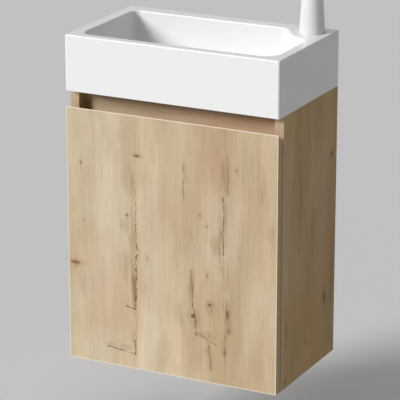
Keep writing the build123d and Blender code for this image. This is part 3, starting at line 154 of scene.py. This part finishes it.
def knot_group():
    """One knot: how far it pushes the grain aside, its dark heart and its soft halo."""
    made, take = group("knot", ["Across", "Along", "At Across", "At Along", "Half Width",
                                "Half Length"], ["Push", "Heart", "Halo"])
    off = add(made, "ShaderNodeMath", {0: take["Across"], 1: take["At Across"]},
              operation="SUBTRACT")
    across = add(made, "ShaderNodeMath", {0: off, 1: take["Half Width"]}, operation="DIVIDE")
    along = add(made, "ShaderNodeMath", {0: take["Along"], 1: take["At Along"]},
                operation="SUBTRACT")
    along = add(made, "ShaderNodeMath", {0: along, 1: take["Half Length"]}, operation="DIVIDE")
    across_squared = add(made, "ShaderNodeMath", {0: across, 1: across}, operation="MULTIPLY")
    # 1 on the knot's rim, as distance squared in half sizes
    reach = add(made, "ShaderNodeMath", {0: along, 1: along, 2: across_squared},
                operation="MULTIPLY_ADD")
    fading = add(made, "ShaderNodeMath", {0: reach, 1: 0.12, 2: 1.0}, operation="MULTIPLY_ADD")
    fading = add(made, "ShaderNodeMath", {0: fading, 1: -2.0}, operation="POWER")
    push = add(made, "ShaderNodeMath", {0: off, 1: fading}, operation="MULTIPLY")
    heart = add(made, "ShaderNodeMapRange", {"Value": reach, "From Min": 1.3, "From Max": 0.5})
    halo = add(made, "ShaderNodeMapRange", {"Value": reach, "From Min": 9.0, "From Max": 0.5},
               interpolation_type="SMOOTHSTEP")
    add(made, "NodeGroupOutput", {"Push": push, "Heart": heart, "Halo": halo})
    return made


def check_group():
    """One broken drying check between two points, with thinning ends."""
    made, take = group("check", ["Across", "Along", "Break", "Start Across", "Start Along",
                                 "End Across", "End Along", "Width"], ["Mask"])
    run = add(made, "ShaderNodeMath", {0: take["End Along"], 1: take["Start Along"]},
              operation="SUBTRACT")
    part = add(made, "ShaderNodeMath", {0: take["Along"], 1: take["Start Along"]},
               operation="SUBTRACT")
    part = add(made, "ShaderNodeMath", {0: part, 1: run}, operation="DIVIDE")
    lean = add(made, "ShaderNodeMath", {0: take["End Across"], 1: take["Start Across"]},
               operation="SUBTRACT")
    centre = add(made, "ShaderNodeMath", {0: part, 1: lean, 2: take["Start Across"]},
                 operation="MULTIPLY_ADD")
    away = add(made, "ShaderNodeMath", {0: take["Across"], 1: centre}, operation="SUBTRACT")
    away = add(made, "ShaderNodeMath", {0: away}, operation="ABSOLUTE")
    away = add(made, "ShaderNodeMath", {0: away, 1: take["Width"]}, operation="DIVIDE")
    body = add(made, "ShaderNodeMapRange", {"Value": away, "From Min": 1.0, "From Max": 0.35})
    left = add(made, "ShaderNodeMath", {0: 1.0, 1: part}, operation="SUBTRACT")
    ends = add(made, "ShaderNodeMath", {0: part, 1: left}, operation="MULTIPLY")
    ends = add(made, "ShaderNodeMapRange", {"Value": ends, "From Min": 0.0, "From Max": 0.05})
    mask = add(made, "ShaderNodeMath", {0: body, 1: ends}, operation="MULTIPLY")
    mask = add(made, "ShaderNodeMath", {0: mask, 1: take["Break"]}, operation="MULTIPLY")
    add(made, "NodeGroupOutput", {"Mask": mask})
    return made


KNOT = knot_group()
CHECK = check_group()

# Patches 50 to 90 mm wide, where the print mixes heart and sap wood: cycles per metre across and
# along the grain, place in the noise, tone and the largest share of it.
PATCHES = ((14.0, 5.0, 61.0, "C9A486", 0.45), (11.0, 3.5, 83.0, "D9CBB0", 0.55),
           (20.0, 9.0, 97.0, "B39A74", 0.35))
# Figure about 40 mm wide, fibres about 4 mm and pores about 1.6 mm. Real pores are several times
# finer and would not show. Cycles per metre across and along the grain, detail, the part of the
# noise that is used, and the lightness from its low to its high end.
FIGURE = ((26.0, 4.5, 4.0, (0.30, 0.72), (0.90, 1.07)),
          (230.0, 7.0, 3.0, (0.30, 0.70), (0.95, 1.03)),
          (620.0, 26.0, 2.0, (0.30, 0.42), (0.88, 1.0)))
FIGURE_SEED_SCALE = 50
# How far lines stray sideways and are torn, in waves about 30 mm and 5 mm long, as cycles per
# metre, and how far a plank's tone drifts over its neighbour's, about 110 mm across.
STRAY, STRAY_SCALE = 4.5 * MM, 34.0
TEAR, TEAR_SCALE = 2.6 * MM, 190.0
PLANK_DRIFT, DRIFT_SCALES = 20 * MM, (9.0, 2.2)
# Checks are broken about every 13 mm. Stains fall into streaks about 6 mm wide and 70 mm long.
# Flecks are about 1 mm wide and 4 mm long, the tips of a noise that is three times as wide.
BREAK_SCALE = 75.0
STREAK_SCALES = (170.0, 14.0)
FLECK_SCALES = (330.0, 75.0)


def oak(name, across, along, planks, knots=(), checks=(), stains=(), seed=0.0, patches=1.0):
    """Wild oak decor, printed foil pressed on chipboard. It gives the eye a matt, flat face with
    planks of different tone, figure, pores, knots, drying checks and brown stains, all printed,
    and only the checks a little sunk. across and along are the axes across and along the grain."""
    made, tree = material(name)
    place = add(tree, "ShaderNodeTexCoord", take="Object")
    axes = add(tree, "ShaderNodeSeparateXYZ", {"Vector": place}).node.outputs
    at_across, at_along = axes[across], axes[along]
    stray = add(tree, "ShaderNodeTexNoise", {"Vector": place, "Scale": STRAY_SCALE,
                                             "Detail": 5.0})
    stray = add(tree, "ShaderNodeMapRange", {"Value": stray, "To Min": -STRAY, "To Max": STRAY})
    ragged = add(tree, "ShaderNodeMath", {0: at_across, 1: stray}, operation="ADD")
    tear = add(tree, "ShaderNodeTexNoise", {"Vector": place, "Scale": TEAR_SCALE,
                                            "Detail": 3.0})
    tear = add(tree, "ShaderNodeMapRange", {"Value": tear, "To Min": -TEAR, "To Max": TEAR})
    torn_across = add(tree, "ShaderNodeMath", {0: ragged, 1: tear}, operation="ADD")
    torn_along = add(tree, "ShaderNodeMath", {0: at_along, 1: tear}, operation="ADD")

    def knot(spot_across, spot_along, half_width, half_length):
        """Outputs of one knot, its place and half sizes in mm."""
        return add(tree, "ShaderNodeGroup",
                   {"Across": ragged, "Along": at_along, "At Across": spot_across * MM,
                    "At Along": spot_along * MM, "Half Width": half_width * MM,
                    "Half Length": half_length * MM}, node_tree=KNOT).node.outputs

    def along_grain(scale_across, scale_along, detail, shift):
        """Noise drawn out along the grain, in cycles per metre, at its own place in the noise."""
        u = add(tree, "ShaderNodeMath", {0: grain, 1: scale_across}, operation="MULTIPLY")
        v = add(tree, "ShaderNodeMath", {0: at_along, 1: scale_along}, operation="MULTIPLY")
        both = add(tree, "ShaderNodeCombineXYZ", {"X": u, "Y": v, "Z": seed + shift})
        return add(tree, "ShaderNodeTexNoise", {"Vector": both, "Scale": 1.0, "Detail": detail})

    heart, halo, grain = 0.0, 0.0, at_across
    for *spot, strength in knots:
        marks = knot(*spot)
        grain = add(tree, "ShaderNodeMath", {0: grain, 1: marks["Push"]}, operation="SUBTRACT")
        dark = add(tree, "ShaderNodeMath", {0: marks["Heart"], 1: strength}, operation="MULTIPLY")
        heart = add(tree, "ShaderNodeMath", {0: heart, 1: dark}, operation="MAXIMUM")
        soft = add(tree, "ShaderNodeMath", {0: marks["Halo"], 1: strength}, operation="MULTIPLY")
        halo = add(tree, "ShaderNodeMath", {0: halo, 1: soft}, operation="MAXIMUM")

    # plank tones across the board, blurred by a slow drift
    drift = along_grain(*DRIFT_SCALES, 2.0, 3.0)
    drift = add(tree, "ShaderNodeMapRange", {"Value": drift, "To Min": -PLANK_DRIFT,
                                             "To Max": PLANK_DRIFT})
    drift = add(tree, "ShaderNodeMath", {0: at_across, 1: drift}, operation="ADD")
    low, high = planks[0][0] * MM, planks[-1][0] * MM
    tone_at = add(tree, "ShaderNodeMapRange", {"Value": drift, "From Min": low, "From Max": high})
    tones = add(tree, "ShaderNodeValToRGB", {"Fac": tone_at}).node
    while len(tones.color_ramp.elements) < len(planks):
        tones.color_ramp.elements.new(0.5)
    for stop, (at, code) in zip(tones.color_ramp.elements, planks):
        stop.position = (at * MM - low) / (high - low)
        stop.color = linear(code)
    colour = tones.outputs["Color"]

    for scale_across, scale_along, shift, code, most in PATCHES:
        patch = along_grain(scale_across, scale_along, 3.0, shift)
        patch = add(tree, "ShaderNodeMapRange", {"Value": patch, "From Min": 0.48,
                                                 "From Max": 0.68, "To Max": most * patches})
        colour = add(tree, "ShaderNodeMix", {0: patch, MIX_FIRST: colour,
                                             MIX_SECOND: linear(code)},
                     take=MIX_RESULT, data_type="RGBA")

    for scale_across, scale_along, detail, used, lightness in FIGURE:
        lines = along_grain(scale_across, scale_along, detail, scale_across / FIGURE_SEED_SCALE)
        lines = add(tree, "ShaderNodeMapRange", {"Value": lines, "From Min": used[0],
                                                 "From Max": used[1], "To Min": lightness[0],
                                                 "To Max": lightness[1]})
        colour = add(tree, "ShaderNodeVectorMath", {0: colour, "Scale": lines},
                     operation="SCALE")

    # drying checks, broken into short lengths
    broken = add(tree, "ShaderNodeTexNoise", {"Vector": place, "Scale": BREAK_SCALE,
                                              "Detail": 3.0})
    broken = add(tree, "ShaderNodeMapRange", {"Value": broken, "From Min": 0.33,
                                              "From Max": 0.50})
    split = 0.0
    for across0, along0, across1, along1, width, strength in checks:
        lines = (torn_across, at_along)
        if abs(across1 - across0) > abs(along1 - along0):
            # a check that runs across the board is drawn with the two axes changed over
            lines = (torn_along, at_across)
            across0, along0, across1, along1 = along0, across0, along1, across1
        check = add(tree, "ShaderNodeGroup",
                    {"Across": lines[0], "Along": lines[1], "Break": broken,
                     "Start Across": across0 * MM, "Start Along": along0 * MM,
                     "End Across": across1 * MM, "End Along": along1 * MM,
                     "Width": width * MM}, node_tree=CHECK)
        deep = add(tree, "ShaderNodeMath", {0: check, 1: strength}, operation="MULTIPLY")
        split = add(tree, "ShaderNodeMath", {0: split, 1: deep}, operation="MAXIMUM")

    # brown stains beside the checks, a knot's halo wide and broken up along the grain
    stain = 0.0
    for spot_across, spot_along, half_width, half_length, strength in stains:
        marks = knot(spot_across, spot_along, half_width / 3, half_length / 3)
        soft = add(tree, "ShaderNodeMath", {0: marks["Halo"], 1: strength}, operation="MULTIPLY")
        stain = add(tree, "ShaderNodeMath", {0: stain, 1: soft}, operation="MAXIMUM")
    streaks = along_grain(*STREAK_SCALES, 4.0, 31.0)
    streaks = add(tree, "ShaderNodeMapRange", {"Value": streaks, "From Min": 0.36,
                                               "From Max": 0.62})
    stain = add(tree, "ShaderNodeMath", {0: stain, 1: streaks}, operation="MULTIPLY")
    # small flecks that the print scatters over every board
    flecks = along_grain(*FLECK_SCALES, 2.0, 47.0)
    flecks = add(tree, "ShaderNodeMapRange", {"Value": flecks, "From Min": 0.73,
                                              "From Max": 0.80})

    for mask, code, most in ((stain, "8A6A44", 0.70), (flecks, "7C6444", 0.5),
                             (halo, "A98C68", 0.42), (heart, "5A4228", 0.85),
                             (split, "5E4428", 0.92)):
        amount = add(tree, "ShaderNodeMath", {0: mask, 1: most}, operation="MULTIPLY")
        colour = add(tree, "ShaderNodeMix", {0: amount, MIX_FIRST: colour,
                                             MIX_SECOND: linear(code)},
                     take=MIX_RESULT, data_type="RGBA")
    relief = add(tree, "ShaderNodeMath", {0: 1.0, 1: split}, operation="SUBTRACT")
    bump = add(tree, "ShaderNodeBump", {"Strength": 0.15, "Distance": 0.4 * MM,
                                        "Height": relief})
    shader = add(tree, "ShaderNodeBsdfPrincipled", {"Base Color": colour, "Roughness": 0.55,
                                                    "Normal": bump, "Specular IOR Level": 0.2})
    add(tree, "ShaderNodeOutputMaterial", {"Surface": shader})
    return made


# Planks: place across the board in mm and tone.
# Knots and stains: place across and along in mm, half width, half length and strength.
# Checks: start across and along, end across and along, width, all in mm, and strength.
DOOR_PLANKS = ((-200, "CAB898"), (-158, "CEBC9D"), (-116, "D5C4A7"), (-70, "C3AC8A"),
               (-58, "D0BD9F"), (18, "CBB696"), (56, "C2AA89"), (100, "BCA482"),
               (126, "BDA786"), (190, "CBB999"))
DOOR_KNOTS = ((-64, -52, 5.5, 2.0, 0.9), (-171, -78, 2.0, 2.6, 0.6), (-45, -232, 4, 7, 0.22),
              (-186, -260, 10, 3.2, 0.75), (42, -321, 4.5, 4, 0.9), (73, -296, 3.4, 3.2, 0.8),
              (108, -308, 3, 9, 0.7), (55, -140, 2, 3, 0.45), (68, -157, 2, 2.4, 0.4),
              (-82, -160, 2.6, 2.0, 0.75), (124, -52, 2.0, 3, 0.4), (103, -377, 2.4, 4, 0.55),
              (70, -245, 2.4, 3, 0.35), (-168, -180, 2, 3, 0.3), (110, -338, 4, 6, 0.4))
DOOR_CHECKS = ((-66, -110, -66, -236, 1.1, 0.75), (-66, -205, -67, -328, 1.7, 1.0),
               (-72, -262, -67, -330, 1.2, 0.8), (-67, -322, -68, -410, 0.8, 0.5),
               (-126, -404, -70, -410, 1.3, 0.95), (-71, -382, -69, -414, 1.6, 1.0),
               (-88, -324, -66, -328, 1.3, 0.9), (-84, -196, -72, -210, 0.9, 0.5),
               (-78, -232, -70, -268, 0.9, 0.6), (-60, -215, -61, -240, 0.8, 0.4),
               (95, -62, 104, -84, 1.0, 0.5), (92, -190, 96, -236, 0.9, 0.5),
               (108, -280, 103, -330, 1.1, 0.6), (76, -372, 58, -386, 0.8, 0.5),
               (107, -30, 108, -98, 1.3, 0.75), (98, -100, 99, -208, 1.5, 0.85),
               (99, -200, 101, -300, 0.8, 0.4), (38, -236, 45, -326, 1.2, 0.9),
               (45, -322, 49, -358, 1.9, 1.0), (49, -350, 88, -367, 1.2, 0.9),
               (71, -358, 77, -416, 1.1, 0.8), (103, -330, 104, -437, 0.8, 0.5),
               (25, -52, 25, -120, 1.1, 0.7), (-171, -60, -171, -130, 0.8, 0.35),
               (-82, -148, -80, -176, 0.8, 0.5), (130, -150, 131, -300, 0.8, 0.3))
DOOR_STAINS = ((-80, -96, 16, 34, 0.55), (-74, -190, 9, 60, 0.6), (-86, -180, 16, 16, 0.6),
               (-70, -290, 8, 52, 0.85), (-84, -250, 20, 40, 0.45), (-100, -400, 30, 8, 0.6),
               (-72, -385, 7, 24, 0.6), (104, -64, 10, 42, 0.75), (98, -150, 11, 62, 0.85),
               (86, -190, 14, 26, 0.5), (103, -240, 9, 40, 0.4), (40, -280, 9, 52, 0.7),
               (46, -326, 13, 24, 0.9), (20, -322, 16, 30, 0.45), (66, -352, 24, 10, 0.6),
               (74, -300, 14, 20, 0.6), (110, -315, 9, 34, 0.8), (104, -365, 8, 36, 0.6),
               (74, -390, 9, 36, 0.55), (26, -80, 7, 46, 0.5), (-186, -262, 16, 14, 0.6),
               (-172, -290, 9, 40, 0.35), (-30, -40, 12, 40, 0.25), (190, -150, 10, 30, 0.35),
               (170, -60, 12, 60, 0.3), (-60, -50, 12, 8, 0.35))
# The side planks are darker and browner than the door's. Part of this is the print, and part is
# painted shade of the right side, which faces away from the key light.
SIDE_PLANKS_WITH_PAINTED_SHADE = ((-220, "C6A774"), (-170, "BE9E6D"), (-120, "C29E6E"), (-60, "C0A06C"),
               (0, "B69666"))
SIDE_KNOTS = ((-20, -71, 4, 5, 0.9), (-43, -324, 5, 11, 0.65), (-150, -205, 3, 5, 0.4),
              (-201, -425, 4, 6, 0.5), (-120, -380, 3, 6, 0.35))
SIDE_CHECKS = ((-145, -40, -147, -190, 1.3, 0.45), (-200, -313, -199, -368, 1.3, 0.6),
               (-14, -230, -15, -360, 1.2, 0.5), (-90, -120, -92, -260, 0.9, 0.3))
SIDE_STAINS = ((-146, -110, 9, 80, 0.45), (-43, -324, 16, 22, 0.6), (-16, -300, 6, 70, 0.6),
               (-198, -340, 7, 40, 0.7), (-95, -190, 14, 60, 0.35), (-20, -72, 10, 12, 0.6))
RAIL_PLANKS = ((-30, "C0A484"), (10, "C6A888"), (46, "CBAE90"))
SHELF_PLANKS = ((-220, "C8B496"), (-110, "C4AE8E"), (0, "C8B496"))

# The print of the door runs upright, with most of the knots and checks. Each seed moves the
# figure of one board to another part of the noise.
door_oak = oak("door_oak_decor", "X", "Z", DOOR_PLANKS, DOOR_KNOTS, DOOR_CHECKS, DOOR_STAINS,
               seed=1.0)
# The sides have a browner, calmer part of the same print, darkened further as painted shade.
side_oak_with_painted_shade = oak("side_oak_decor", "Y", "Z", SIDE_PLANKS_WITH_PAINTED_SHADE, SIDE_KNOTS, SIDE_CHECKS, SIDE_STAINS,
               seed=7.0, patches=0.45)
# The rails have the print lengthwise, pinkish and without knots.
rail_oak = oak("rail_oak_decor", "Z", "X", RAIL_PLANKS, seed=13.0)
# The bottom and the shelf have the plain, pale part of the print, lengthwise.
board_oak = oak("board_oak_decor", "Y", "X", SHELF_PLANKS, seed=21.0)


# ---------------------------------------------------------------- edge bands
def edge_band(name, dark, light, highlight_at):
    """ABS edge band, 1 mm, printed and ironed on, its rims scraped. It gives the eye a satin oak
    print on its outer face and a pale line where the band's own plastic is cut, painted as bright
    as a highlight on the lit arris. highlight_at gives how squarely a face looks to the front or
    back where it is all print, and where it is all painted highlight."""
    made, tree = material(name)
    coordinates = add(tree, "ShaderNodeTexCoord").node.outputs
    faces = add(tree, "ShaderNodeSeparateXYZ", {"Vector": coordinates["Normal"]}, take="Y")
    faces = add(tree, "ShaderNodeMath", {0: faces}, operation="ABSOLUTE")
    # share of the painted highlight, from the way a face looks
    cut_rim_highlight = add(tree, "ShaderNodeMapRange", {"Value": faces, "From Min": highlight_at[0],
                                           "From Max": highlight_at[1]})
    # fibres about 2.4 mm wide, coarser than real ones so that they show
    grain = add(tree, "ShaderNodeMapping", {"Vector": coordinates["Object"],
                                            "Scale": (420.0, 420.0, 26.0)})
    grain = add(tree, "ShaderNodeTexNoise", {"Vector": grain, "Scale": 1.0, "Detail": 3.0})
    printed = add(tree, "ShaderNodeMix", {0: grain, MIX_FIRST: linear(dark),
                                          MIX_SECOND: linear(light)},
                  take=MIX_RESULT, data_type="RGBA")
    # painted highlight: the pale colour on the cut rim stands for light catching the band's arris
    colour = add(tree, "ShaderNodeMix", {0: cut_rim_highlight, MIX_FIRST: printed,
                                         MIX_SECOND: linear("F0E2CA")},
                 take=MIX_RESULT, data_type="RGBA")
    bump = add(tree, "ShaderNodeBump", {"Strength": 0.1, "Distance": 0.2 * MM,
                                        "Height": grain})
    shader = add(tree, "ShaderNodeBsdfPrincipled", {"Base Color": colour, "Roughness": 0.5,
                                                    "Normal": bump, "Specular IOR Level": 0.25})
    add(tree, "ShaderNodeOutputMaterial", {"Surface": shader})
    return made


# On the door the band's cut rim with its painted highlight looks to the front. On the carcass the
# printed face does, and the painted highlight goes on the band's sides.
door_band = edge_band("door_edge_band_print_and_highlight", "B4956C", "C9AE86", (0.80, 0.95))
carcass_band = edge_band("carcass_edge_band_print_and_highlight", "B89E7E", "CBB394", (0.60, 0.30))


# ---------------------------------------------------------------- even finishes
def plain(name, code, roughness, metallic=0.0, grain=400.0, spread=0.04, **sockets):
    """Even finish with a little variation in colour and gloss. grain is in cycles per metre, and
    spread is how much darker the colour gets."""
    made, tree = material(name)
    place = add(tree, "ShaderNodeTexCoord", take="Object")
    noise = add(tree, "ShaderNodeTexNoise", {"Vector": place, "Scale": grain, "Detail": 3.0})
    light = add(tree, "ShaderNodeMapRange", {"Value": noise, "To Min": 1 - spread, "To Max": 1.0})
    colour = add(tree, "ShaderNodeVectorMath", {0: linear(code)[:3], "Scale": light},
                 operation="SCALE")
    gloss = add(tree, "ShaderNodeMapRange", {"Value": noise, "To Min": roughness * 0.85,
                                             "To Max": roughness * 1.15})
    shader = add(tree, "ShaderNodeBsdfPrincipled", {"Base Color": colour, "Roughness": gloss,
                                                    "Metallic": metallic, **sockets})
    add(tree, "ShaderNodeOutputMaterial", {"Surface": shader})
    return made


FINISHES = {
    "oak_decor": door_oak,
    "oak_band": carcass_band,
    "oak_rail": rail_oak,
    # Beech, planed to a round dowel: pale pinkish brown and dull.
    "beech": plain("beech_dowel", "D2B184", 0.6),
    # Cast mineral, its gel coat smoothed by the mould: even white with a wide, soft gloss.
    "basin_white": plain("cast_basin_white", "EDEDEC", 0.22, grain=900.0, spread=0.01, IOR=1.5),
    # Steel, pressed and zinc plated: cool grey, half matt.
    "zinc": plain("zinc_plated_steel", "B4B6BA", 0.38, 1.0),
    # Steel, pressed and nickel plated: warm grey, brighter than the zinc.
    "nickel": plain("nickel_plated_steel", "A8A6A2", 0.28, 1.0),
    # Steel, turned to a peg and nickel plated: bright.
    "steel_pin": plain("nickel_plated_peg", "AEAFB0", 0.25, 1.0),
    # ABS, moulded in a fine-spark mould: off-white, satin.
    "hanger_plastic": plain("moulded_hanger_plastic", "DCDCDA", 0.45),
    # Silicone, smoothed while wet: white, softly shining.
    "silicone": plain("sanitary_silicone", "EAEAEA", 0.35),
    # Polyurethane, cast as a small dome: pale and smooth.
    "clear_pad": plain("cast_polyurethane_bumper", "D8DADA", 0.3),
    # Brass, polished and chrome plated: bright as a mirror.
    "waste_chrome": plain("polished_chrome", "D0D2D4", 0.08, 1.0, grain=60.0, spread=0.02),
    # Rubber, moulded: near black and dull.
    "seal_rubber": plain("seal_rubber", "1E1E1E", 0.6),
    # Brass, turned and left bare: yellow, with a clear shine.
    "brass_nut": plain("turned_brass", "B8954E", 0.3, 1.0),
    # Polypropylene, moulded: white with a soft gloss.
    "trap_plastic": plain("moulded_trap_plastic", "E6E6E2", 0.3),
    # Brass, white powder coated: even white, a little less glossy than the basin.
    "tap_white": plain("tap_powder_coat", "EAEAEA", 0.28, grain=1500.0, spread=0.015),
    # Acetal, moulded: pale grey, satin.
    "cartridge_plastic": plain("moulded_cartridge_plastic", "CCCCC6", 0.45),
    # Acetal, moulded: mid grey, satin.
    "aerator_plastic": plain("moulded_aerator_plastic", "8C8E90", 0.35),
}
# Pieces whose finish differs from the others of their slot.
NODE_FINISHES = {
    "side_panel_left": side_oak_with_painted_shade,
    "side_panel_right": side_oak_with_painted_shade,
    "bottom_panel": board_oak,
    "shelf": board_oak,
    "door_edge_bands": door_band,
}
for part in frame["record"]["subparts"]:
    finish = NODE_FINISHES.get(part["node"], FINISHES[part["material_slot"]])
    obj = nodes[part["node"]]
    obj.data.materials.clear()
    obj.data.materials.append(finish)

# ---------------------------------------------------------------- smooth curves, crisp edges
JOIN_DISTANCE = 0.00001
CRISP_ANGLE = math.radians(28)
for obj in nodes.values():
    for face in obj.data.polygons:
        face.use_smooth = True
    join = obj.modifiers.new("join_facets", "WELD")
    join.merge_threshold = JOIN_DISTANCE
    split_edges = obj.modifiers.new("keep_edges", "EDGE_SPLIT")
    split_edges.split_angle = CRISP_ANGLE
    flat = obj.modifiers.new("flat_faces", "WEIGHTED_NORMAL")
    flat.keep_sharp = True

bpy.context.scene.view_settings.view_transform = "Standard"
